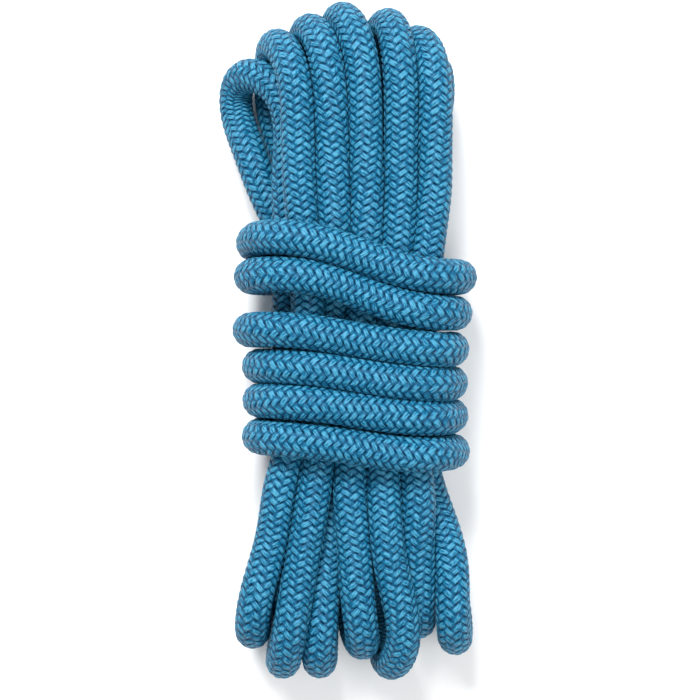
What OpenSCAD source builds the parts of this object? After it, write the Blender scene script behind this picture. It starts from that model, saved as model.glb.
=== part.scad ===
// Dynamic climbing rope made up as a hank: seven long loops, bound at the waist by six turns
// of the same rope. The hank lies on its back. +X is to the right, +Y runs along the hank to
// the upper loops, and +Z is up from the surface that it lies on. The origin is in the middle
// of the hank, on that surface. All sizes are in millimetres.

/* [Rope] */
// Diameter of the rope over its braided sheath
rope_d = 10; // [9.6:0.1:10.4]
// Thickness of the braided sheath
sheath_wall = 0.9; // [0.75:0.05:1.1]

/* [Loops] */
// Length of the hank, over the round ends of its loops
hank_l = 203; // [196:1:230]
// Depth of the loops at their round ends
bight_depth = 38; // [36:0.5:42]
// Widest part of the upper loops, where they fan out
upper_fan_w = 71; // [66:1:76]
// Widest part of the lower loops, where they fan out
lower_fan_w = 74; // [68:1:78]

/* [Waist] */
// Runs of rope side by side in each layer at the waist
runs_wide = 5; // [4:1:6]
// Layers of rope at the waist
layers = 3; // [2:1:4]
// Where the binding turns begin on the left, above the middle of the hank
band_upper_left = 35; // [30:0.5:38]
// Where the binding turns begin on the right, above the middle of the hank
band_upper_right = 24; // [20:0.5:30]

/* [Tails] */
// Length of the tail that the rope starts with, below the waist
start_tail_l = 32; // [26:1:36]
// Length of the tail that the rope finishes with, below the waist
finish_tail_l = 28; // [26:1:36]
// Length of the shrunk sleeve on each end
sleeve_l = 18; // [14:1:22]
// Thickness of the shrunk sleeve
sleeve_wall = 0.4; // [0.3:0.05:0.5]
// Thickness of the fused tip of each end
seal_t = 1.2; // [0.8:0.1:2]

/* [Hidden] */
$fn = 64;

// Colours
sheath_blue = [0.11, 0.43, 0.62];
core_white = [0.90, 0.90, 0.87];
sleeve_black = [0.05, 0.06, 0.07];
seal_blue = [0.16, 0.36, 0.48];
thread_red = [0.75, 0.14, 0.12];

// Rope at the waist: runs side by side, in layers that nest into each other
rope_r = rope_d / 2;
nesting = sqrt(3) / 2;
waist_w = runs_wide * rope_d;
waist_t = rope_d * (1 + (layers - 1) * nesting);
waist_x = 2;
waist_z = rope_d + waist_t / 2;
waist_corner_r = 0.7 * rope_d;
waist_under = rope_d;
waist_top = rope_d + waist_t;

// Band of binding turns round the waist. Both of its edges slope from left to right.
band_lower_left = -34;
band_lower_right = -38.5;
wrap_w = waist_w + 2 * rope_d;
wrap_t = waist_t + 2 * rope_d;
band_left_x = waist_x - wrap_w / 2;

// Outline of the hank from above: two fans whose ends are arcs
half_l = hank_l / 2;
upper_arc_r = 51.5;
lower_arc_r = 61.5;
upper_x = -3;
lower_x = 1.5;
upper_root_w = waist_w + 5;
lower_root_w = waist_w + 3;

// Side of the hank: round ends, and an underside that is clear of the surface near the waist
end_r = bight_depth / 2;
end_y = half_l - end_r;
droop_y = 52;
droop_under = waist_under + 0.8;

// Tails: both leave the waist in its lowest layer. The first leans out with the loops.
start_tail_x = -18;
finish_tail_x = 12;
start_tail_lean = -12;
finish_tail_lean = 0;
tail_root_y = -37.4;
tail_z = waist_under + rope_r;
notch_w = rope_d + 2 * sleeve_wall + 1.6;

// Core of twisted strands: three round a marker thread, and nine round the three
core_r = rope_r - sheath_wall;
inner_strands = 3;
outer_strands = 9;
strand_r = core_r * 0.224;
inner_ring_r = core_r * 0.305;
outer_ring_r = core_r * 0.76;
thread_r = 0.25;

// Route of the last turn where it leaves the band, bends back and passes under the band
tuck_x = 12;
tuck_route = [
    [-20, 32.3, 5.2], [-19.2, 35, 5.2], [-16, 38.5, 5.2], [-10, 41.5, 5.2], [-3, 43, 5.2],
    [3.5, 42.2, 5.6], [8.6, 39.4, 7.4], [11.4, 35.6, 10], [12, 32, 12.6], [12, 28.4, 14.4],
    [12, 25, 15]
];
tube_sides = 12;
rings_per_span = 2;

// ---- shapes ----

module along_x(from, to) {
    translate([from, 0, 0]) rotate([90, 0, 90]) linear_extrude(to - from) children();
}

module along_y(from, to) {
    translate([0, to, 0]) rotate([90, 0, 0]) linear_extrude(to - from) children();
}

// A flat bar with rounded corners, w wide and t thick
module round_bar(w, t, r) {
    square([w - 2 * r, t], center = true);
    square([w, t - 2 * r], center = true);
    for (x = [-1, 1]) for (y = [-1, 1])
        translate([x * (w / 2 - r), y * (t / 2 - r)]) circle(r);
}

// Height of a line from (x0, y0) to (x1, y1), where it passes x
function line_y(x, x0, y0, x1, y1) = y0 + (y1 - y0) * (x - x0) / (x1 - x0);

function band_upper(x) =
    line_y(x, band_left_x, band_upper_left, band_left_x + wrap_w, band_upper_right);

function band_lower(x) =
    line_y(x, band_left_x, band_lower_left, band_left_x + wrap_w, band_lower_right);

// Everything between the edges of the band, from above
module band_outline() {
    x0 = -wrap_w;
    x1 = wrap_w;
    polygon([
        [x0, band_lower(x0)], [x1, band_lower(x1)], [x1, band_upper(x1)], [x0, band_upper(x0)]
    ]);
}

module upper_fan_outline() {
    left = waist_x - upper_root_w / 2;
    right = waist_x + upper_root_w / 2;
    intersection() {
        polygon([
            [left, band_upper(left)], [right, band_upper(right)],
            [upper_x + upper_fan_w / 2, half_l], [upper_x - upper_fan_w / 2, half_l]
        ]);
        translate([upper_x, half_l - upper_arc_r]) circle(upper_arc_r);
    }
}

module lower_fan_outline() {
    left = waist_x - lower_root_w / 2;
    right = waist_x + lower_root_w / 2;
    intersection() {
        polygon([
            [left, band_lower(left)], [right, band_lower(right)],
            [lower_x + lower_fan_w / 2, -half_l], [lower_x - lower_fan_w / 2, -half_l]
        ]);
        translate([lower_x, lower_arc_r - half_l]) circle(lower_arc_r);
    }
}

module side_outline() {
    polygon([
        [-end_y, 0], [-droop_y, droop_under], [droop_y, droop_under], [end_y, 0],
        [end_y, bight_depth], [-end_y, bight_depth]
    ]);
    for (side = [-1, 1]) translate([side * end_y, end_r]) circle(end_r);
}

// Places its children at the root of a tail, with their +Z along the tail
module on_tail(x, lean) {
    translate([x, tail_root_y, tail_z]) rotate([90, 0, lean]) children();
}

// Room round a tail, open to the surface below
module tail_notch(x, lean, length) {
    on_tail(x, lean) translate([-notch_w / 2, -tail_z - 1, 0])
        cube([notch_w, tail_z + 1 + notch_w / 2, length + 3]);
}

// Room for the tucked turn, open to the surface below
module tuck_notch() {
    translate([tuck_x - notch_w / 2, band_upper(tuck_x), -1])
        cube([notch_w, droop_y - 3 - band_upper(tuck_x), tail_z + 1 + notch_w / 2]);
}

module hollow(outer_r, inner_r, from, to) {
    translate([0, 0, from]) difference() {
        cylinder(h = to - from, r = outer_r);
        translate([0, 0, -1]) cylinder(h = to - from + 2, r = inner_r);
    }
}

// Points of a smooth curve through a list of points
function spline(p, i, t) =
    let (a = p[max(i - 1, 0)], b = p[i], c = p[i + 1], d = p[min(i + 2, len(p) - 1)])
    0.5 * (2 * b + (c - a) * t + (2 * a - 5 * b + 4 * c - d) * t * t
        + (3 * b - a - 3 * c + d) * t * t * t);

function smooth_route(p, steps) = concat(
    [for (i = [0 : len(p) - 2]) for (s = [0 : steps - 1]) spline(p, i, s / steps)],
    [p[len(p) - 1]]
);

function unit(v) = v / norm(v);

function ring(p, i, r, sides) =
    let (
        t = unit(p[min(i + 1, len(p) - 1)] - p[max(i - 1, 0)]),
        u = unit(cross(t, [0, 0, 1])),
        v = cross(t, u)
    )
    [for (k = [0 : sides - 1])
        p[i] + r * (cos(360 * k / sides) * u + sin(360 * k / sides) * v)];

module tube(route, r, sides) {
    rings = len(route);
    points = [for (i = [0 : rings - 1]) each ring(route, i, r, sides)];
    walls = [
        for (i = [0 : rings - 2]) for (k = [0 : sides - 1])
            let (a = i * sides + k, b = i * sides + (k + 1) % sides)
            each [[a, a + sides, b], [b, a + sides, b + sides]]
    ];
    root = [for (k = [0 : sides - 1]) k];
    tip = [for (k = [sides - 1 : -1 : 0]) (rings - 1) * sides + k];
    polyhedron(points, concat(walls, [root, tip]));
}

// ---- pieces ----

// The outer shape of the upper ends of the seven loops, with room for the tucked turn
module upper_loops() {
    color(sheath_blue) difference() {
        intersection() {
            linear_extrude(bight_depth + 1) upper_fan_outline();
            along_x(-half_l, half_l) side_outline();
        }
        tuck_notch();
    }
}

// The outer shape of the fifteen runs of rope inside the band
module waist_runs() {
    color(sheath_blue) intersection() {
        translate([waist_x, 0, waist_z]) along_y(-half_l, half_l)
            round_bar(waist_w, waist_t, waist_corner_r);
        linear_extrude(waist_top + 1) band_outline();
    }
}

// The outer shape of the lower ends of the seven loops, with room for both tails
module lower_loops() {
    color(sheath_blue) difference() {
        intersection() {
            linear_extrude(bight_depth + 1) lower_fan_outline();
            along_x(-half_l, half_l) side_outline();
        }
        tail_notch(start_tail_x, start_tail_lean, start_tail_l);
        tail_notch(finish_tail_x, finish_tail_lean, finish_tail_l);
    }
}

// The outer shape of the six binding turns
module waist_wraps() {
    color(sheath_blue) intersection() {
        translate([waist_x, 0, waist_z]) difference() {
            along_y(-half_l, half_l) round_bar(wrap_w, wrap_t, waist_corner_r + rope_d);
            along_y(-half_l - 1, half_l + 1) round_bar(waist_w, waist_t, waist_corner_r);
        }
        linear_extrude(waist_top + rope_d) band_outline();
    }
}

// The end of the last turn, bent back to pass under the band
module tucked_turn() {
    color(sheath_blue) tube(smooth_route(tuck_route, rings_per_span), rope_r, tube_sides);
}

module tail_sheath(x, lean, length) {
    color(sheath_blue) on_tail(x, lean) hollow(rope_r, core_r, 0, length - seal_t);
}

module end_sleeve(x, lean, length) {
    color(sleeve_black) on_tail(x, lean)
        hollow(rope_r + sleeve_wall, rope_r, length - sleeve_l, length);
}

// The tip of the rope, where sheath and core are melted into one
module end_seal(x, lean, length) {
    color(seal_blue) on_tail(x, lean)
        translate([0, 0, length - seal_t]) cylinder(h = seal_t, r = rope_r);
}

// A line of the core, which shows up in both tails
module core_line(radius, angle, r) {
    on_tail(start_tail_x, start_tail_lean) rotate(angle) translate([radius, 0, 0])
        cylinder(h = start_tail_l - seal_t, r = r);
    on_tail(finish_tail_x, finish_tail_lean) rotate(angle) translate([radius, 0, 0])
        cylinder(h = finish_tail_l - seal_t, r = r);
}

module core_strand(number) {
    inner = number <= inner_strands;
    count = inner ? inner_strands : outer_strands;
    place = inner ? number : number - inner_strands;
    color(core_white)
        core_line(inner ? inner_ring_r : outer_ring_r, 360 * place / count, strand_r);
}

module marker_thread() {
    color(thread_red) core_line(0, 0, thread_r);
}

upper_loops();
waist_runs();
lower_loops();
waist_wraps();
tucked_turn();
tail_sheath(start_tail_x, start_tail_lean, start_tail_l);  // start_tail_sheath
tail_sheath(finish_tail_x, finish_tail_lean, finish_tail_l);  // finish_tail_sheath
end_sleeve(start_tail_x, start_tail_lean, start_tail_l);  // start_end_sleeve
end_sleeve(finish_tail_x, finish_tail_lean, finish_tail_l);  // finish_end_sleeve
end_seal(start_tail_x, start_tail_lean, start_tail_l);  // start_end_seal
end_seal(finish_tail_x, finish_tail_lean, finish_tail_l);  // finish_end_seal
core_strand(1);  // core_strand_01
core_strand(2);  // core_strand_02
core_strand(3);  // core_strand_03
core_strand(4);  // core_strand_04
core_strand(5);  // core_strand_05
core_strand(6);  // core_strand_06
core_strand(7);  // core_strand_07
core_strand(8);  // core_strand_08
core_strand(9);  // core_strand_09
core_strand(10);  // core_strand_10
core_strand(11);  // core_strand_11
core_strand(12);  // core_strand_12
marker_thread();
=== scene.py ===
import math

import bmesh
import bpy
import numpy as np
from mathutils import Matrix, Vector


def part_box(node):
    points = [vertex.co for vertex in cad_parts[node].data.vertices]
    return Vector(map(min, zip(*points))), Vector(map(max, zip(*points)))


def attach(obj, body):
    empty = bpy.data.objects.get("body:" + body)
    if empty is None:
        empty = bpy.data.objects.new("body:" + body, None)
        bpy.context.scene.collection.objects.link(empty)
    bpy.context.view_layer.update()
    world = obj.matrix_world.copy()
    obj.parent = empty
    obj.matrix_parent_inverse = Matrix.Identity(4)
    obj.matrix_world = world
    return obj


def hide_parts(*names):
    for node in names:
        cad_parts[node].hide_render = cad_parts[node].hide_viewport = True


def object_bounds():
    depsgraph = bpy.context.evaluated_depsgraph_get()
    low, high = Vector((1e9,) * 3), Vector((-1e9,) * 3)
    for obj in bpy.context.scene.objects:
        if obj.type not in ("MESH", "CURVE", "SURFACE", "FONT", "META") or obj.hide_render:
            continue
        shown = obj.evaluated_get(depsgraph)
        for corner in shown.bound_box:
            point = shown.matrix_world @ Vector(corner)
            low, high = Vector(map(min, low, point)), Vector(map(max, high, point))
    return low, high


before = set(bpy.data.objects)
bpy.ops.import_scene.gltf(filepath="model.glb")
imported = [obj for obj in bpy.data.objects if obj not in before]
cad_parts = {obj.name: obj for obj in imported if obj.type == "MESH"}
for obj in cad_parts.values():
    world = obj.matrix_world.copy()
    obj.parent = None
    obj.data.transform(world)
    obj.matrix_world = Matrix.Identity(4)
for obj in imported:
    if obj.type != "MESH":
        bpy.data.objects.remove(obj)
cad_low, cad_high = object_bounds()


# ---- Camera ----
# The hank lies on its back on a table, and is seen from straight above, with the upper loops
# at the top of the view.

MM = 0.001
CAMERA_HEIGHT = 600 * MM
CAMERA_X = 0.4 * MM
CAMERA_Y = -2.8 * MM
VIEW_WIDTH = 210.5 * MM
camera_data = bpy.data.cameras.new("camera")
camera_data.sensor_width = 36
camera_data.lens = camera_data.sensor_width * (CAMERA_HEIGHT - cad_high.z / 2) / VIEW_WIDTH
camera = bpy.data.objects.new("camera", camera_data)
camera.location = (CAMERA_X, CAMERA_Y, CAMERA_HEIGHT)
bpy.context.scene.collection.objects.link(camera)
bpy.context.scene.camera = camera


# ---- Lie of the rope ----
# One braided rope, folded to and fro into seven long loops and bound with its own last metre.
# It starts in a short tail at the lower left, makes its loops from left to right, winds six
# times round the waist from the bottom to the top, and is tucked back under its own turns.

ROPE_D = 10 * MM
ROPE_R = ROPE_D / 2

# The runs lie in three nested layers at the waist, and these are the heights of their centres
LAYER = ROPE_D * math.sqrt(3) / 2
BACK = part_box("waist_runs")[0].z + ROPE_R
MIDDLE = BACK + LAYER
FRONT = MIDDLE + LAYER
WAIST_MIDDLE = (BACK + FRONT) / 2

# How far along the hank the runs leave the turns, and where they bend towards the tips
WAIST_TOP = 32 * MM
WAIST_BOTTOM = -37 * MM
BEND_TOP = 60 * MM
BEND_BOTTOM = -62 * MM
LOOPS_SPREAD_FROM = 36 * MM

# How firmly a stretch keeps to its place while the rope settles. From HELD_FAST up it
# doesn't move at all.
FIXED = 1.0
HELD_FAST = 0.9
BOUND = 0.6
SEEN = 0.3
HIDDEN = 0.05
LOOSE = 0.01

# One row for each loop, from left to right, in millimetres. The run that is seen from the
# front goes down from the upper tip to the lower tip, and the hidden run goes up again. A tip
# is its x and y, the heights of its seen and its hidden side, and how far right of the hidden
# side the seen side lies. A run is its x and its height where it enters and leaves the waist.
LOOPS = [
    dict(upper=(-29.2, 81, 23.5, 5, 15.5), bend=-17.2, down=(-17.5, MIDDLE, -18, FRONT - 3 * MM),
         low_bend=-23.4, lower=(-28.6, -88, 33, 6, -3), up=(-8.5, BACK, -9.5, BACK)),
    dict(upper=(-22.3, 89.2, 33, 5, 9), bend=-15, down=(-13, FRONT, -9, FRONT),
         low_bend=-13, lower=(-20, -97, 33, 5, 2), up=(-12.5, MIDDLE, -8, MIDDLE)),
    dict(upper=(-11.8, 94, 33, 5, 7.6), bend=-5.2, down=(-4.2, FRONT, -3.8, MIDDLE),
         low_bend=-6.4, lower=(-8.7, -97.4, 28.5, 5, -2), up=(1, BACK, -0.5, BACK)),
    dict(upper=(-3, 97.2, 33, 5, 9.8), bend=5, down=(5.4, FRONT, 1, FRONT),
         low_bend=1.6, lower=(4.8, -91.6, 33, 5, -2), up=(5, MIDDLE, 1.5, MIDDLE)),
    dict(upper=(11.8, 95.4, 33, 5, 6), bend=16.2, down=(15, FRONT, 10.6, FRONT),
         low_bend=14.2, lower=(12.2, -97.3, 32, 5, 10.5), up=(13.5, MIDDLE, 11, MIDDLE)),
    dict(upper=(19.8, 90.6, 32, 5, 9), bend=24.8, down=(23.7, FRONT, 18.8, FRONT),
         low_bend=20, lower=(20.4, -84, 28, 5, 3), up=(21, BACK, 20, BACK)),
    dict(upper=(24.2, 82.4, 24, 5, 8), bend=23.4, down=(19, MIDDLE, 22, MIDDLE),
         low_bend=27.6, lower=(32.6, -90, 30, 5, -1), up=None),
]

# Where the six binding turns pass the right side and the left side of the waist, from the
# lowest to the highest: how far along the hank, and how far out
TURNS_RIGHT = [(-33.4, 29.2), (-22.4, 29.2), (-12.8, 29.4), (-2.3, 29.8), (8.3, 30.8), (19, 32.2)]
TURNS_LEFT = [(-29, -25), (-17.9, -25.2), (-7.7, -25), (3.2, -28.6), (19.2, -28.2), (30.2, -27)]
TURN_CORNER = 12 * MM
STRETCH_FROM_TURN = {1: "turns_lower", 4: "turns_upper"}

# One turn bows up to the next where it crosses the front
BOWED_TURN = 5
BOWED_FRONT = [(-1, 16.2, 42), (-12, 18.6, 42)]

# The stretches that aren't wound: the first tail, the way from the last loop to the lowest
# turn, the way back under the turns, and the second tail
START_LEAN = math.radians(12)
START_ROOT = Vector((-18 * MM, -37.4 * MM, BACK))
START_TAIL_L = 30.9 * MM
START_TAIL = START_TAIL_L * Vector((-math.sin(START_LEAN), -math.cos(START_LEAN), 0))
START_RUN = [(-17, -28, 15), (-17.4, -12, 15), (-17.6, 8, 15)]
LEFT_LEG = [(-19.6, 25, 15), (-25, 42, 15), (-31, 61, 13)]
CROSSING = [(30.5, -72.5, 5), (26.5, -69, 5), (18, -64.6, 5), (9, -59.5, 5), (0.5, -54.7, 5),
            (-3.6, -51.2, 5), (-5.5, -46, 5), (-4.8, -41, 5), (-1.8, -37.3, 5), (2.6, -35.2, 5),
            (9, -34.4, 5)]

# The last turn goes on as the tuck, from the left side of the back to the lower tail
TUCK = [(-19.4, 32.8, 5.4), (-14.5, 36.6, 5.2), (-9, 40.2, 5.2), (-3, 42.3, 5.2),
        (3.5, 42.2, 5.6), (8.6, 39.4, 7.4), (11.4, 35.6, 10), (12, 32, 12.6), (12, 28.4, 14.4),
        (12, 24, 15)]
FINISH_ROOT = Vector((12 * MM, -37.4 * MM, BACK))
FINISH_TAIL_L = 26.9 * MM
FINISH_TAIL = FINISH_TAIL_L * Vector((0, -1, 0))

# The sheath's crossings are this far apart along the rope. Its mesh has four rows for each,
# and a whole number of rows between the points of the settled line.
CROSSING_STEP = 1.18 * MM
ROWS_PER_CROSSING = 4
ROW = CROSSING_STEP / ROWS_PER_CROSSING
ROWS_PER_POINT = 11
STEP = ROW * ROWS_PER_POINT

# The rope is soft, so where it is bound its runs take less room than it is thick
WAIST_SQUEEZE = 0.87
WAIST_SQUEEZE_Y = 42 * MM

# How the rope settles: each round pulls it to its laid line, less and less, and straightens
# its kinks. Places nearer than SAME_STRETCH along it never push each other, and of the rest
# those within LOOK_R are looked at, chosen anew after some rounds.
ROUNDS = 400
PULL = 0.3
PULL_UNTIL = 0.8
STRAIGHTEN = 0.06
SAME_STRETCH = 1.7 * ROPE_D
LOOK_R = 1.35 * ROPE_D
LOOK_ROUNDS = 8

guides = []
stretches = []


def lay(points, hold, stretch=None):
    """Adds points to the rope's guide line. A named stretch starts at the first of them."""
    if stretch:
        stretches.append((stretch, len(guides)))
    guides.extend((*point, hold) for point in points)


def placed(points):
    """Places in metres, from points in millimetres."""
    return [Vector(point) * MM for point in points]


def fold(tip, waist_x):
    """The half turn at a loop's tip, from its seen side to its hidden side."""
    x, y, seen_z, hidden_z, sway = (value * MM for value in tip)
    across = Vector((sway, 0, seen_z - hidden_z))
    radius = across.length / 2
    out = Vector((x - waist_x, y - math.copysign(LOOPS_SPREAD_FROM, y), 0)).normalized()
    centre = Vector((x, y, (seen_z + hidden_z) / 2)) - out * radius
    angles = [math.radians(a) for a in range(90, -91, -30)]
    return [centre + across.normalized() * radius * math.sin(a) + out * radius * math.cos(a)
            for a in angles]


def lay_loop(loop):
    """A loop's upper fold, its seen run and its lower fold."""
    x_top, z_top, x_bottom, z_bottom = loop["down"]
    upper = fold(loop["upper"], x_top * MM)
    lower = fold(loop["lower"], x_bottom * MM)
    lay(upper[:3:-1], HIDDEN)
    lay(upper[3::-1], SEEN)
    lay([(loop["bend"] * MM, BEND_TOP, (upper[0].z + z_top) / 2),
         (x_top * MM, WAIST_TOP, z_top),
         ((x_top + x_bottom) / 2 * MM, 0, (z_top + z_bottom) / 2),
         (x_bottom * MM, WAIST_BOTTOM, z_bottom),
         (loop["low_bend"] * MM, BEND_BOTTOM, (lower[0].z + z_bottom) / 2)], SEEN)
    lay(lower[:4], SEEN)
    lay(lower[4:], HIDDEN)


def side(y, x):
    """A binding turn's way up one side of the waist, round its two corners."""
    out = math.copysign(1, x)
    lift = FRONT + ROPE_D - WAIST_MIDDLE - TURN_CORNER
    points = []
    for corner_z, angles in ((-lift, (-90, -60, -30, 0)), (lift, (0, 30, 60, 90))):
        for a in map(math.radians, angles):
            point_x = (x - out * TURN_CORNER / MM * (1 - math.cos(a))) * MM
            point_z = WAIST_MIDDLE + TURN_CORNER * math.sin(a) + corner_z
            points.append((point_x, y * MM, point_z))
    return points


lay([START_ROOT + START_TAIL * part for part in (1, 0.6, 0.3, 0)], FIXED, "loop_1")
lay(placed(START_RUN), HIDDEN)
lay(placed(LEFT_LEG), SEEN)
for number, loop in enumerate(LOOPS, 1):
    lay_loop(loop)
    if loop["up"]:
        x_bottom, z_bottom, x_top, z_top = loop["up"]
        lay([(x_bottom * MM, WAIST_BOTTOM, z_bottom)], LOOSE)
        lay([((x_top + x_bottom) / 2 * MM, 0, (z_top + z_bottom) / 2)], LOOSE,
            "loop_%d" % (number + 1))
        lay([(x_top * MM, WAIST_TOP, z_top)], LOOSE)
lay(placed(CROSSING), SEEN)
for number, (right, left) in enumerate(zip(TURNS_RIGHT, TURNS_LEFT), 1):
    lay(side(*right), BOUND, STRETCH_FROM_TURN.get(number))
    if number == BOWED_TURN:
        lay(placed(BOWED_FRONT), BOUND)
    lay(side(*left)[::-1], BOUND)
# The last turn stops short of its end on the back, where the tuck goes on from it
del guides[-1]
lay(placed(TUCK), BOUND, "tucked_end")
lay([(FINISH_ROOT.x, 0, BACK)], FIXED)
lay([FINISH_ROOT + FINISH_TAIL * part for part in (0, 0.3, 0.6, 1)], FIXED)


def smooth_line(points, step):
    """A smooth curve through the points, with a point every step or so. Also says where on
    it each of the given points is."""
    fine_steps = 40
    p = np.array(points)
    span = np.sqrt(np.linalg.norm(np.diff(p[:, :3], axis=0), axis=1))[:, None]
    chord = np.diff(p, axis=0) / span
    slope = np.vstack([chord[:1], (chord[:-1] * span[1:] + chord[1:] * span[:-1])
                       / (span[1:] + span[:-1]), chord[-1:]])
    t = np.linspace(0, 1, fine_steps, endpoint=False)[None, :, None]
    a, b = p[:-1, None], p[1:, None]
    from_slope, to_slope = (slope[:-1] * span)[:, None], (slope[1:] * span)[:, None]
    fine = ((2 * t**3 - 3 * t**2 + 1) * a + (t**3 - 2 * t**2 + t) * from_slope
            + (3 * t**2 - 2 * t**3) * b + (t**3 - t**2) * to_slope)
    fine = np.vstack([fine.reshape(-1, p.shape[1]), p[-1:]])
    run = np.linalg.norm(np.diff(fine[:, :3], axis=0), axis=1)
    along = np.concatenate([[0], np.cumsum(run)])
    count = round(along[-1] / step) + 1
    where = np.linspace(0, along[-1], count)
    line = np.stack([np.interp(where, along, fine[:, k]) for k in range(p.shape[1])], axis=1)
    return line, np.rint(along[::fine_steps] / along[-1] * (count - 1)).astype(int)


def settle(line, hold):
    """Lets the rope find its place: its points stay a step apart, it doesn't kink, stretches
    that come closer than its thickness push each other away, and it lies on the table. The
    runs in the waist are squeezed together by the turns."""
    p = line.copy()
    count = len(p)
    in_waist = (np.abs(line[:, 1]) < WAIST_SQUEEZE_Y) & (hold < (SEEN + BOUND) / 2)
    thickness = ROPE_D * np.where(in_waist, WAIST_SQUEEZE, 1.0)
    free = (hold < HELD_FAST).astype(float)[:, None]
    for turn in range(ROUNDS):
        if turn % LOOK_ROUNDS == 0:
            gap = ((p[:, None, :] - p[None, :, :]) ** 2).sum(axis=2)
            i, j = np.nonzero(gap < LOOK_R**2)
            apart = j - i > int(SAME_STRETCH / STEP)
            i, j = i[apart], j[apart]

        # The line is pulled to where it was laid, and made straighter
        fade = max(0.0, 1 - turn / (PULL_UNTIL * ROUNDS))
        p += free * (line - p) * hold[:, None] * PULL * fade
        bow = np.zeros_like(p)
        bow[2:-2] = -p[:-4] + 4 * p[1:-3] - 6 * p[2:-2] + 4 * p[3:-1] - p[4:]
        p += free * bow * STRAIGHTEN

        # Stretches that are too close push each other away
        away = p[j] - p[i]
        length = np.linalg.norm(away, axis=1)
        room = (thickness[i] + thickness[j]) / 2
        close = length < room
        ci, cj = i[close], j[close]
        push = away[close] / length[close, None] * (room - length)[close, None]
        share = free[ci] + free[cj]
        share[share == 0] = 1
        move = np.zeros_like(p)
        hits = np.zeros(count)
        np.add.at(move, ci, -push * free[ci] / share)
        np.add.at(move, cj, push * free[cj] / share)
        np.add.at(hits, ci, 1)
        np.add.at(hits, cj, 1)
        p += move / np.maximum(1, hits / 2)[:, None]

        # Neighbours come back to a step apart, first every second pair and then the others
        for first in (0, 1):
            a = np.arange(first, count - 1, 2)
            b = a + 1
            link = p[b] - p[a]
            length = np.linalg.norm(link, axis=1)[:, None]
            share = free[a] + free[b]
            share[share == 0] = 1
            change = link / length * (length - STEP)
            p[a] += change * free[a] / share
            p[b] -= change * free[b] / share

        # Nothing sinks into the table
        low = p[:, 2] < ROPE_R
        p[low, 2] = np.where(free[low, 0] > 0, ROPE_R, p[low, 2])
    return p


guide_line, guide_place = smooth_line(guides, STEP)
settled = settle(guide_line[:, :3], np.clip(guide_line[:, 3], 0, FIXED))
rope_line, rope_place = smooth_line(settled, STEP)


# ---- Sheath ----
# The braided tube of the rope: 24 dyed polyamide yarns, 12 each way round, each passing over
# two and under two. What shows of a yarn is a float, a small cushion that lies across two
# crossings. The floats stand in straight columns along the rope, leaning left and right.

YARNS_EACH_WAY = 12
RING = 4 * YARNS_EACH_WAY
CROWN_R = 5.25 * MM
VALLEY_R = 4.35 * MM

# The sheath's pattern repeats after this many rows and this many points round
TILE = 8

# Lengths on a yarn are counted in crossings: half a float's width, how often a float comes,
# and how wide the strip is that a yarn has on the yarn map. A strip begins again after a
# number of floats, so that its numbers stay small.
YARN_HALF_WIDTH = 0.53
FLOAT_REPEAT = 4
YARN_STRIP = 1.5
STRIP_REPEATS = 64

# Where the first float's middle is, along a yarn of the first hand and of the second hand
FIRST_FLOAT = (0.5, 2.5)

# Whole multiples of this share give every yarn a tone of its own
GOLDEN_SHARE = 0.6180339

# How full a float's cross-section is, how much of its height is its arch from end to end, and
# how much it leans over when the braid is pulled tight
YARN_FULLNESS = 2.5
YARN_RISE = 0.36
FLOAT_SKEW = 0.16

# The rope turns a little about its own line, now one way and now the other. Each wave of it
# has a share of the twist, its radians in a metre, and its first angle.
TWIST = math.radians(38)
TWIST_WAVES = [(1, 21, 1), (0.7, 47, 0), (1, 9, 0)]

# An end sleeve grips the sheath to a smaller radius. The sheath swells out again under the
# last of the sleeve, and has almost done so at its edge.
SLEEVE_L = 18 * MM
SLEEVE_GRIP_R = 4.95 * MM
SWELL_LENGTH = 3 * MM
SWOLLEN_AT_EDGE = 0.9

# Where two stretches press on each other, this much room is left beside each. Every so many
# rows of the other stretch are enough to find it. Where a direction leads away from it,
# LEAST_TOWARD stands in and leaves endless room.
CONTACT_GAP = 0.01 * MM
CONTACT_ROWS = 3
LEAST_TOWARD = 1e-6


def lattice(row, column):
    """The two yarn counts at a row of the mesh and a column, of which there are 24 round the
    rope. A yarn of the first hand lies where the first count is a whole number, and one of
    the second hand where the second count is."""
    crossings = row / ROWS_PER_CROSSING
    return (column - crossings) / 2, (column + crossings) / 2


def on_yarn(a, b, second_hand, number):
    """Where (a, b) lies on a yarn: across it, along it from the middle of the nearest float, and
    which float that is."""
    across = np.where(second_hand, b, a) - number
    first = np.where(second_hand, FIRST_FLOAT[1], FIRST_FLOAT[0])
    way = np.where(second_hand, a, b) + number - first
    place = np.rint(way / FLOAT_REPEAT)
    return across, way - place * FLOAT_REPEAT, place


def from_middle(across, along):
    """How far a place is from a float's middle line, which leans over."""
    return abs(across - FLOAT_SKEW * along) / (1 + FLOAT_SKEW)


def top_yarn(a, b):
    """The yarn that is on top at (a, b), as its hand and number, and how high it is there."""
    best = np.full(np.shape(a), -2.0)
    best_hand, best_number = np.zeros(np.shape(a)), np.zeros(np.shape(a))
    for second_hand in (0, 1):
        for beside in (-1, 0, 1):
            number = np.rint(b if second_hand else a) + beside
            across, along, _ = on_yarn(a, b, second_hand, number)
            aside = from_middle(across, along)
            body = np.sqrt(np.clip(1 - (aside / YARN_HALF_WIDTH) ** YARN_FULLNESS, 0, 1))
            height = (1 - YARN_RISE) * body + YARN_RISE * np.cos(along * math.pi / 2)
            higher = (height > best) & (aside < YARN_HALF_WIDTH)
            best = np.where(higher, height, best)
            best_hand = np.where(higher, second_hand, best_hand)
            best_number = np.where(higher, number, best_number)
    return best_hand, best_number, best


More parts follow.
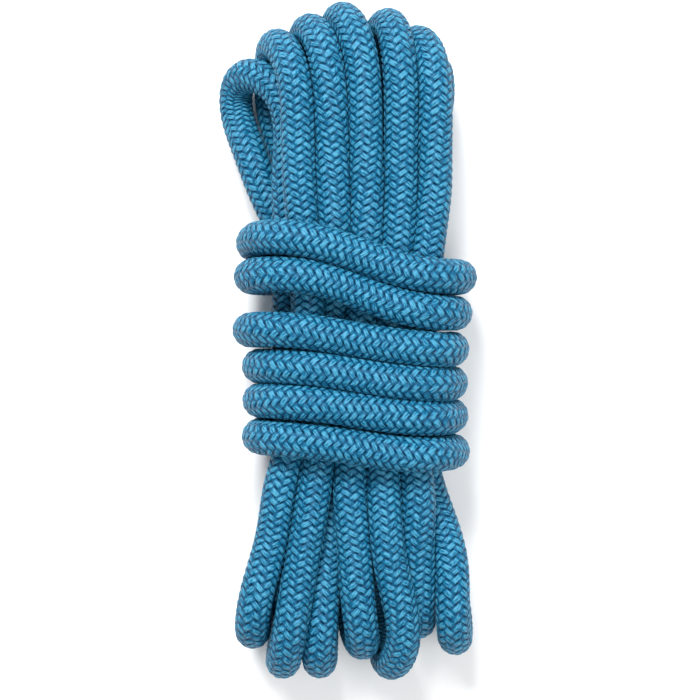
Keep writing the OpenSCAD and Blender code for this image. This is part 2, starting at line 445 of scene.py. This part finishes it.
def rope_rows(p):
    """Centres of the mesh rows: a smooth curve past the settled points."""
    p = np.vstack([2 * p[0] - p[1], p, 2 * p[-1] - p[-2]])
    t = (np.arange(ROWS_PER_POINT) / ROWS_PER_POINT)[None, :, None]
    q = [p[k:len(p) - 3 + k, None] for k in range(4)]
    rows = ((1 - t) ** 3 * q[0] + (3 * t**3 - 6 * t**2 + 4) * q[1]
            + (1 + 3 * t + 3 * t**2 - 3 * t**3) * q[2] + t**3 * q[3]) / 6
    return np.vstack([rows.reshape(-1, 3), p[-2:-1]])


def rope_frames(rows):
    """Two directions across the rope at each row, carried along it without a twist."""
    way = np.gradient(rows, axis=0)
    way /= np.linalg.norm(way, axis=1)[:, None]
    first = np.zeros_like(rows)
    u = np.cross(way[0], (0.3, 0.2, 1.0))
    for k, t in enumerate(way):
        u = u - t * (u @ t)
        u /= math.sqrt(u @ u)
        first[k] = u
    return first, np.cross(way, first)


centres = rope_rows(rope_line)
across_1, across_2 = rope_frames(centres)
row_number = np.arange(len(centres))
along_rope = row_number * ROW
drift = TWIST * sum(part * np.sin(along_rope * waves + start) for part, waves, start in TWIST_WAVES)
from_end = np.minimum(along_rope, along_rope[-1] - along_rope)
outside_sleeve = np.clip((from_end - SLEEVE_L) / SWELL_LENGTH + SWOLLEN_AT_EDGE, 0, 1)
most_r = SLEEVE_GRIP_R + (CROWN_R - SLEEVE_GRIP_R) * outside_sleeve
tile_row, tile_point = np.meshgrid(np.arange(TILE), np.arange(TILE), indexing="ij")
tile = top_yarn(*lattice(tile_row, tile_point / 2 + np.mod(tile_row, 2) / 4))[2]


def room_round(rows, cos, sin):
    """How far the sheath may reach from each row's centre in each direction: it goes flat where
    it meets another stretch of the rope halfway, and where it meets the table."""
    here, others = centres[rows], centres[::CONTACT_ROWS]
    apart = np.abs(rows[:, None] - row_number[None, ::CONTACT_ROWS]) * ROW > SAME_STRETCH
    gap_squared = ((here**2).sum(axis=1)[:, None] + (others**2).sum(axis=1)[None, :]
                   - 2 * here @ others.T)
    row, other = np.nonzero(apart & (gap_squared < 4 * CROWN_R**2))
    gap = others[other] - here[row]
    toward = ((gap * across_1[rows][row]).sum(axis=1)[:, None] * cos[row]
              + (gap * across_2[rows][row]).sum(axis=1)[:, None] * sin[row])
    reach = (gap**2).sum(axis=1)[:, None] / (2 * np.maximum(toward, LEAST_TOWARD))
    first = np.flatnonzero(np.diff(row, prepend=-1))
    down = -(cos * across_1[rows][:, 2:] + sin * across_2[rows][:, 2:])
    room = here[:, 2:] / np.maximum(down, LEAST_TOWARD)
    if len(first):
        room[row[first]] = np.minimum(room[row[first]], np.minimum.reduceat(reach, first, axis=0))
    return room - CONTACT_GAP


def sheath_points(rows):
    """Mesh points of a stretch of sheath, and how far up a float each one is."""
    point = np.arange(RING)[None, :]
    k = rows[:, None]
    angle = (point / 2 + np.mod(k, 2) / 4) * math.pi / YARNS_EACH_WAY + drift[rows][:, None]
    cos, sin = np.cos(angle), np.sin(angle)
    height = tile[np.mod(k, TILE), np.mod(point, TILE)]
    radius = np.minimum(VALLEY_R + (CROWN_R - VALLEY_R) * height, most_r[rows][:, None])
    radius = np.minimum(radius, room_round(rows, cos, sin))[:, :, None]
    points = centres[rows][:, None] + radius * (cos[:, :, None] * across_1[rows][:, None]
                                                + sin[:, :, None] * across_2[rows][:, None])
    return points.reshape(-1, 3), height.ravel()


def sheath_faces(rows):
    """Corners of the diamond faces and of the two rings of triangles that finish the ends, then
    each corner's place on its yarn and each face's yarn tone. A diamond's sides run along the
    yarns."""
    count = len(rows)

    # A diamond spans two rows, and odd rows stand half a point further round
    k, n = np.meshgrid(np.arange(count), np.arange(RING), indexing="ij")
    odd = np.mod(rows[k], 2)
    column = n / 2 + odd / 4
    left, right = np.mod(n - 1 + odd, RING), np.mod(n + odd, RING)
    beyond = np.mod(n + 1, RING)
    inner = slice(0, count - 2)
    corner = np.stack([k * RING + n, (k + 1) * RING + right, (k + 2) * RING + n,
                       (k + 1) * RING + left], axis=2)[inner].reshape(-1, 4)
    corner_row = np.stack([rows[k] + step for step in (0, 1, 2, 1)], axis=2)[inner]
    corner_column = np.stack([column + step for step in (0, 0.25, 0, -0.25)], axis=2)[inner]

    # Its middle says which float it lies on, and its corners are measured from that one
    a, b = lattice(corner_row.reshape(-1, 4), corner_column.reshape(-1, 4))
    hand, number, _ = top_yarn(a.mean(axis=1), b.mean(axis=1))
    place = on_yarn(a.mean(axis=1), b.mean(axis=1), hand, number)[2][:, None]
    across, along, nearest = on_yarn(a, b, hand[:, None], number[:, None])
    along += (nearest - place) * FLOAT_REPEAT
    yarn = np.mod(number, YARNS_EACH_WAY) + YARNS_EACH_WAY * hand
    u = across + YARN_STRIP * (yarn[:, None] + 1)
    v = along + FLOAT_REPEAT * (np.mod(place, STRIP_REPEATS) + 1)
    tone = np.mod(yarn * GOLDEN_SHARE, 1)

    # The first and the last row are made round with triangles
    start = np.stack([n[0], beyond[0], RING + right[0]], axis=1)
    last = (count - 1) * RING
    before = np.mod(n[0] + 1 - np.mod(rows[-1] - 1, 2), RING)
    finish = np.stack([last + beyond[0], last + n[0], last - RING + before], axis=1)
    return corner, start, finish, np.stack([u, v], axis=2), tone


def sheath_mesh(name, rows):
    """The mesh of a stretch of sheath, with its yarn map, closed with a flat disc at each end."""
    points, height = sheath_points(rows)
    corner, start, finish, place, tone = sheath_faces(rows)
    last = (len(rows) - 1) * RING
    discs = np.concatenate([np.arange(RING)[::-1], last + np.arange(RING)])
    vertex = np.concatenate([corner.ravel(), start.ravel(), finish.ravel(), discs])
    sizes = np.array([4] * len(corner) + [3] * 2 * RING + [RING] * 2)
    mesh = bpy.data.meshes.new(name)
    mesh.vertices.add(len(points))
    mesh.vertices.foreach_set("co", points.astype(np.float32).ravel())
    mesh.loops.add(len(vertex))
    mesh.loops.foreach_set("vertex_index", vertex.astype(np.int32))
    mesh.polygons.add(len(sizes))
    mesh.polygons.foreach_set("loop_start", (np.cumsum(sizes) - sizes).astype(np.int32))
    mesh.update(calc_edges=True)
    mesh.validate()
    yarn_map = np.full((len(vertex), 2), FLOAT_REPEAT, np.float32)
    yarn_map[:place.size // 2] = place.reshape(-1, 2)
    mesh.uv_layers.new(name="yarn").data.foreach_set("uv", yarn_map.ravel())
    crown = mesh.attributes.new("crown", "FLOAT", "POINT")
    crown.data.foreach_set("value", height.astype(np.float32))
    shade = mesh.attributes.new("tone", "FLOAT", "FACE")
    shade.data.foreach_set("value", np.pad(tone, (0, len(sizes) - len(tone))).astype(np.float32))
    flat = mesh.attributes.new("sharp_face", "BOOLEAN", "FACE")
    flat.data.foreach_set("value", sizes == RING)
    return mesh


def maths(tree, operation, *values, clamp=False):
    """A math node whose inputs are numbers or other nodes' outputs. Gives its output."""
    node = tree.nodes.new("ShaderNodeMath")
    node.operation = operation
    node.use_clamp = clamp
    for socket, value in zip(node.inputs, values):
        if isinstance(value, bpy.types.NodeSocket):
            tree.links.new(value, socket)
        else:
            socket.default_value = value
    return node.outputs[0]


def ramp(tree, value, *stops):
    """A colour ramp with the given stops, each a place and a colour."""
    node = tree.nodes.new("ShaderNodeValToRGB")
    node.color_ramp.elements[0].position, node.color_ramp.elements[0].color = stops[0]
    node.color_ramp.elements[1].position, node.color_ramp.elements[1].color = stops[-1]
    for place, colour in stops[1:-1]:
        node.color_ramp.elements.new(place).color = colour
    tree.links.new(value, node.inputs["Fac"])
    return node.outputs["Color"]


def smooth_step(tree, value, low, high):
    """0 at low and 1 at high, with a smooth way between."""
    node = tree.nodes.new("ShaderNodeMapRange")
    node.interpolation_type = "SMOOTHSTEP"
    node.inputs["From Min"].default_value = low
    node.inputs["From Max"].default_value = high
    tree.links.new(value, node.inputs["Value"])
    return node.outputs["Result"]


def noise(tree, vector, scale, detail=2.0):
    """Random cloudy values, about 0.5."""
    node = tree.nodes.new("ShaderNodeTexNoise")
    node.inputs["Scale"].default_value = scale
    node.inputs["Detail"].default_value = detail
    tree.links.new(vector, node.inputs["Vector"])
    return node.outputs["Fac"]


def braid_group():
    """Node group of the braid's yarns, from the yarn map. Float is painted shade and light: 0 in the
    gaps between the floats and low on them, near 1 on their tops. Filaments are the fine streaks
    along each yarn, and Tone changes from yarn to yarn and from patch to patch."""
    group = bpy.data.node_groups.new("braid_yarns", "ShaderNodeTree")
    for name in ("Float", "Filaments", "Tone", "Height"):
        group.interface.new_socket(name=name, in_out="OUTPUT", socket_type="NodeSocketFloat")
    uv = group.nodes.new("ShaderNodeUVMap")
    uv.uv_map = "yarn"
    parts = group.nodes.new("ShaderNodeSeparateXYZ")
    group.links.new(uv.outputs["UV"], parts.inputs["Vector"])
    u, v = parts.outputs["X"], parts.outputs["Y"]
    half_strip, half_repeat = YARN_STRIP / 2, FLOAT_REPEAT / 2
    u_cell = maths(group, "MODULO", maths(group, "ADD", u, half_strip), YARN_STRIP)
    v_cell = maths(group, "MODULO", maths(group, "ADD", v, half_repeat), FLOAT_REPEAT)
    across = maths(group, "SUBTRACT", u_cell, half_strip)
    along = maths(group, "SUBTRACT", v_cell, half_repeat)
    lean = maths(group, "MULTIPLY_ADD", along, -FLOAT_SKEW, across)
    aside = maths(group, "ABSOLUTE", maths(group, "DIVIDE", lean, 1 + FLOAT_SKEW))
    # Painted shade: the gaps between the floats are made dark, as their shade would be. The same mask
    # also shapes the relief.
    side = smooth_step(group, aside, YARN_HALF_WIDTH, 0.29)
    end = smooth_step(group, maths(group, "ABSOLUTE", along), 1.05, 0.5)
    island = maths(group, "MULTIPLY", side, maths(group, "MULTIPLY_ADD", end, 0.5, 0.5))

    # Streaks are long and thin: many across a yarn and few along it
    stretched = group.nodes.new("ShaderNodeCombineXYZ")
    group.links.new(maths(group, "MULTIPLY", u, 6.0), stretched.inputs["X"])
    group.links.new(maths(group, "MULTIPLY", v, 1.1), stretched.inputs["Y"])
    filaments = noise(group, stretched.outputs["Vector"], 1.0, 4.0)
    tone = group.nodes.new("ShaderNodeAttribute")
    tone.attribute_name = "tone"
    place = group.nodes.new("ShaderNodeTexCoord")
    patches = noise(group, place.outputs["Object"], 60.0)
    # Painted light and shade: a float is made lighter where the sheath stands high and darker low
    # down, as light would fall on it.
    crown = group.nodes.new("ShaderNodeAttribute")
    crown.attribute_name = "crown"
    painted_height_light = smooth_step(group, crown.outputs["Fac"], 0.2, 0.95)
    out = group.nodes.new("NodeGroupOutput")
    painted_light_share = maths(group, "MULTIPLY", painted_height_light, 0.5)
    from_patches = maths(group, "MULTIPLY", patches, 0.5)
    group.links.new(maths(group, "MULTIPLY_ADD", island, 0.45, painted_light_share), out.inputs["Float"])
    group.links.new(filaments, out.inputs["Filaments"])
    mixed = maths(group, "MULTIPLY_ADD", tone.outputs["Fac"], 0.5, from_patches)
    group.links.new(mixed, out.inputs["Tone"])
    group.links.new(maths(group, "MULTIPLY_ADD", filaments, 0.35, island), out.inputs["Height"])
    return group


def new_material(name):
    material = bpy.data.materials.new(name)
    material.use_nodes = True
    tree = material.node_tree
    return material, tree, tree.nodes["Principled BSDF"]


def bump(tree, shader, height, distance):
    node = tree.nodes.new("ShaderNodeBump")
    node.inputs["Strength"].default_value = 1.0
    node.inputs["Distance"].default_value = distance
    tree.links.new(height, node.inputs["Height"])
    tree.links.new(node.outputs["Normal"], shader.inputs["Normal"])


def sheath_blue():
    """Dyed polyamide yarn, a little silky: painted shade darkens the gaps and painted light brightens
    the floats.
    """
    material, tree, shader = new_material("sheath_blue")
    braid = tree.nodes.new("ShaderNodeGroup")
    braid.node_tree = braid_group()
    streaks = maths(tree, "SUBTRACT", braid.outputs["Filaments"], 0.5)
    value = maths(tree, "MULTIPLY_ADD", streaks, 1.3, braid.outputs["Float"])
    uneven = maths(tree, "SUBTRACT", braid.outputs["Tone"], 0.5)
    value = maths(tree, "MULTIPLY_ADD", uneven, 0.22, value, clamp=True)
    # Painted shade and highlight: near black-blue in the gaps, and the last, palest stop is a painted
    # highlight on the floats' tops.
    colour = ramp(tree, value, (0.0, (0.0, 0.005, 0.018, 1)), (0.35, (0.0, 0.026, 0.068, 1)),
                  (0.7, (0.0, 0.07, 0.155, 1)), (0.88, (0.002, 0.12, 0.235, 1)),
                  (1.0, (0.055, 0.27, 0.42, 1)))
    tree.links.new(colour, shader.inputs["Base Color"])
    rough = maths(tree, "MULTIPLY_ADD", braid.outputs["Filaments"], 0.25, 0.38)
    tree.links.new(rough, shader.inputs["Roughness"])
    shader.inputs["Specular IOR Level"].default_value = 0.2
    shader.inputs["Sheen Weight"].default_value = 0.02
    shader.inputs["Sheen Roughness"].default_value = 0.35
    shader.inputs["Sheen Tint"].default_value = (0.75, 0.9, 1.0, 1)
    bump(tree, shader, braid.outputs["Height"], 0.4 * MM)
    return material


def piece(name, mesh, slot, *nodes):
    """A finished piece of the rope, which stands for the given CAD nodes."""
    part = bpy.data.objects.new(name, mesh)
    bpy.context.scene.collection.objects.link(part)
    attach(part, "root")
    if nodes:
        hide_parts(*nodes)
    return part


# The CAD nodes that each stretch of the rope takes the place of
STANDS_FOR = {
    "loop_1": ("upper_loops", "start_tail_sheath"),
    "loop_2": ("lower_loops", "waist_runs"),
    "turns_lower": ("waist_wraps",),
    "tucked_end": ("tucked_turn", "finish_tail_sheath"),
}
blue = sheath_blue()
starts = [int(rope_place[guide_place[index]]) * ROWS_PER_POINT for _, index in stretches]
for (name, _), first, last in zip(stretches, starts, starts[1:] + [len(centres) - 1]):
    rows = np.arange(first, last + 1)
    sheath = piece(name, sheath_mesh(name, rows), "rope_sheath", *STANDS_FOR.get(name, ()))
    sheath.data.materials.append(blue)


# ---- End sleeves ----
# A short tube of black heat-shrink plastic on each end of the rope, shrunk on hot. It grips
# the sheath on the core. The yarns under it show faintly, and its rims are rounded.

SLEEVE_WALL = 0.4 * MM
SLEEVE_TOP = 1.1 * MM
SLEEVE_SWELL = 0.05 * MM
SLEEVE_RINGS = 24
AROUND = 96
WELD = 0.001 * MM
ENDS = {"start": (START_ROOT, START_TAIL), "finish": (FINISH_ROOT, FINISH_TAIL)}


def turned(name, profile, closed, root, tail):
    """A shape turned round a tail's line, from (radius, distance past the sheath's end). A
    closed profile is a tube's wall, and its outside swells over the yarns."""
    builder = bmesh.new()
    points = [builder.verts.new((r, 0, z)) for r, z in profile]
    edges = [builder.edges.new(pair) for pair in zip(points, points[1:])]
    if closed:
        edges.append(builder.edges.new((points[-1], points[0])))
    bmesh.ops.spin(builder, geom=points + edges, cent=(0, 0, 0), axis=(0, 0, 1),
                   angle=2 * math.pi, steps=AROUND, use_merge=True)
    bmesh.ops.remove_doubles(builder, verts=builder.verts, dist=WELD)
    bmesh.ops.recalc_face_normals(builder, faces=builder.faces)
    for face in builder.faces:
        face.smooth = True
    turn = tail.to_track_quat("Z", "X").to_matrix()
    for vertex in builder.verts:
        angle = math.atan2(vertex.co.y, vertex.co.x)
        way = vertex.co.z / CROSSING_STEP * math.pi / YARNS_EACH_WAY
        swell = SLEEVE_SWELL * math.cos(YARNS_EACH_WAY * (angle + way))
        swell += SLEEVE_SWELL * math.cos(YARNS_EACH_WAY * (angle - way))
        flat = Vector((vertex.co.x, vertex.co.y, 0))
        if closed and flat.length > ROPE_R + SLEEVE_WALL / 2:
            vertex.co += flat.normalized() * swell
        vertex.co = root + tail + turn @ vertex.co
    mesh = bpy.data.meshes.new(name)
    builder.to_mesh(mesh)
    builder.free()
    return mesh


def mottle_group():
    """Node group of slow patches and fine grain, as on moulded or melted plastic."""
    group = bpy.data.node_groups.new("mottle", "ShaderNodeTree")
    for name in ("Patches", "Grain", "Height"):
        group.interface.new_socket(name=name, in_out="OUTPUT", socket_type="NodeSocketFloat")
    place = group.nodes.new("ShaderNodeTexCoord")
    patches = noise(group, place.outputs["Object"], 350.0, 3.0)
    grain = noise(group, place.outputs["Object"], 2500.0, 2.0)
    out = group.nodes.new("NodeGroupOutput")
    group.links.new(patches, out.inputs["Patches"])
    group.links.new(grain, out.inputs["Grain"])
    group.links.new(maths(group, "MULTIPLY_ADD", grain, 0.15, patches), out.inputs["Height"])
    return group


def plastic(name, dark, light, smooth, relief):
    """Plastic between two colours, with its least roughness and the depth of its relief."""
    material, tree, shader = new_material(name)
    spots = tree.nodes.new("ShaderNodeGroup")
    spots.node_tree = mottle
    tree.links.new(ramp(tree, spots.outputs["Patches"], (0.3, dark), (0.7, light)),
                   shader.inputs["Base Color"])
    tree.links.new(maths(tree, "MULTIPLY_ADD", spots.outputs["Grain"], 0.3, smooth),
                   shader.inputs["Roughness"])
    bump(tree, shader, spots.outputs["Height"], relief)
    return material


def sleeve_profile():
    """The sleeve's wall: up its inner side, over the top rim, down its outer side, and round
    the lower rim."""
    foot = SLEEVE_TOP - SLEEVE_L
    rim = SLEEVE_WALL / 2
    rim_angles = [math.radians(a) for a in range(-60, 61, 30)]
    heights = [foot + rim + k / SLEEVE_RINGS * (SLEEVE_L - 2 * rim) for k in range(SLEEVE_RINGS + 1)]
    profile = [(ROPE_R, z) for z in heights]
    for a in rim_angles:
        profile.append((ROPE_R + rim + rim * math.sin(a), SLEEVE_TOP - rim + rim * math.cos(a)))
    profile += [(ROPE_R + SLEEVE_WALL, z) for z in heights[::-1]]
    for a in rim_angles:
        profile.append((ROPE_R + rim - rim * math.sin(a), foot + rim - rim * math.cos(a)))
    return profile


mottle = mottle_group()
sleeve_black = plastic("sleeve_black", dark=(0.008, 0.009, 0.01, 1), light=(0.02, 0.021, 0.023, 1),
                       smooth=0.28, relief=0.05 * MM)
for end, (root, tail) in ENDS.items():
    name = end + "_end_sleeve"
    mesh = turned(name, sleeve_profile(), True, root, tail)
    sleeve = piece(name + "_shrunk", mesh, "end_sleeve", name)
    sleeve.data.materials.append(sleeve_black)


# ---- End seals ----
# Where the rope is cut its sheath and core are melted together, into a hard domed button
# inside the sleeve's rim. The melted polyamide is darker than the yarns and shines.

SEAL_PROFILE = [(0, 0.03), (2.4, 0.03), (4.6, 0.03), (4.85, 0.2), (4.9, 0.5), (4.88, 0.9),
                (4.75, 1.2), (4.4, 1.5), (3.8, 1.75), (2.9, 1.95), (1.6, 2.08), (0, 2.12)]
seal_blue = plastic("seal_blue", dark=(0.003, 0.012, 0.02, 1), light=(0.008, 0.06, 0.11, 1),
                    smooth=0.15, relief=0.25 * MM)
for end, (root, tail) in ENDS.items():
    name = end + "_end_seal"
    mesh = turned(name, [(r * MM, z * MM) for r, z in SEAL_PROFILE], False, root, tail)
    seal = piece(name + "_melted", mesh, "end_seal", name)
    seal.data.materials.append(seal_blue)


# ---- Core strands and marker thread ----
# Twelve strands of white twisted polyamide carry the load inside the sheath, and one red
# marker thread lies among them. Both keep their exact shapes, and show only at a cut.


def twist_group():
    """Node group of a strand's plies: Ply is the way from the gap between two plies to the
    top of one, and Fibres are fine streaks."""
    group = bpy.data.node_groups.new("twisted_plies", "ShaderNodeTree")
    for name in ("Ply", "Fibres", "Height"):
        group.interface.new_socket(name=name, in_out="OUTPUT", socket_type="NodeSocketFloat")
    place = group.nodes.new("ShaderNodeTexCoord")
    wave = group.nodes.new("ShaderNodeTexWave")
    wave.bands_direction = "DIAGONAL"
    wave.inputs["Scale"].default_value = 300.0
    wave.inputs["Distortion"].default_value = 0.6
    group.links.new(place.outputs["Object"], wave.inputs["Vector"])
    fibres = noise(group, place.outputs["Object"], 3000.0, 3.0)
    out = group.nodes.new("NodeGroupOutput")
    group.links.new(wave.outputs["Fac"], out.inputs["Ply"])
    group.links.new(fibres, out.inputs["Fibres"])
    height = maths(group, "MULTIPLY_ADD", fibres, 0.2, wave.outputs["Fac"])
    group.links.new(height, out.inputs["Height"])
    return group


def twisted(name, groove_shade, crest):
    """Twisted yarn, with a painted shade between two plies and the colour of a ply's top."""
    material, tree, shader = new_material(name)
    plies = tree.nodes.new("ShaderNodeGroup")
    plies.node_tree = twist
    value = maths(tree, "MULTIPLY_ADD", plies.outputs["Fibres"], 0.4, plies.outputs["Ply"], clamp=True)
    # Painted shade: the yarn is made darker between its plies.
    tree.links.new(ramp(tree, value, (0.0, groove_shade), (0.6, crest)), shader.inputs["Base Color"])
    rough = maths(tree, "MULTIPLY_ADD", plies.outputs["Fibres"], 0.3, 0.4)
    tree.links.new(rough, shader.inputs["Roughness"])
    shader.inputs["Sheen Weight"].default_value = 0.1
    bump(tree, shader, plies.outputs["Height"], 0.1 * MM)
    return material


twist = twist_group()
core_white = twisted("core_white", (0.45, 0.46, 0.45, 1), (0.82, 0.83, 0.81, 1))
marker_red = twisted("marker_red", (0.25, 0.015, 0.012, 1), (0.6, 0.06, 0.05, 1))
for name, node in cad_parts.items():
    if name.startswith("core_strand_"):
        node.data.materials.clear()
        node.data.materials.append(core_white)
    elif name == "marker_thread":
        node.data.materials.clear()
        node.data.materials.append(marker_red)


# ---- Stage ----
# A sheet of white paper under two large soft lamps, close above. A bright room all round
# fills the shadows.

PAPER_HALF = 2.0
floor = bpy.data.objects.new("floor", bpy.data.meshes.new("floor"))
builder = bmesh.new()
bmesh.ops.create_grid(builder, x_segments=1, y_segments=1, size=PAPER_HALF)
builder.to_mesh(floor.data)
builder.free()
bpy.context.scene.collection.objects.link(floor)
paper, tree, shader = new_material("paper")
shader.inputs["Base Color"].default_value = (0.95, 0.95, 0.95, 1)
shader.inputs["Roughness"].default_value = 0.9
floor.data.materials.append(paper)


def softbox(name, place, size, power):
    """A square lamp that shines at the middle of the hank."""
    light = bpy.data.lights.new(name, "AREA")
    light.shape = "SQUARE"
    light.size = size
    light.energy = power
    lamp = bpy.data.objects.new(name, light)
    lamp.location = place
    lamp.rotation_euler = (-Vector(place)).to_track_quat("-Z", "Y").to_euler()
    bpy.context.scene.collection.objects.link(lamp)


softbox("key", place=(-0.25, 0.75, 1.0), size=0.45, power=22)
softbox("fill", place=(0.45, -0.3, 1.1), size=0.8, power=9)
bpy.context.scene.view_settings.view_transform = "Standard"
world = bpy.data.worlds.new("world")
bpy.context.scene.world = world
world.use_nodes = True
world.node_tree.nodes["Background"].inputs["Color"].default_value = (1, 1, 1, 1)
world.node_tree.nodes["Background"].inputs["Strength"].default_value = 0.4
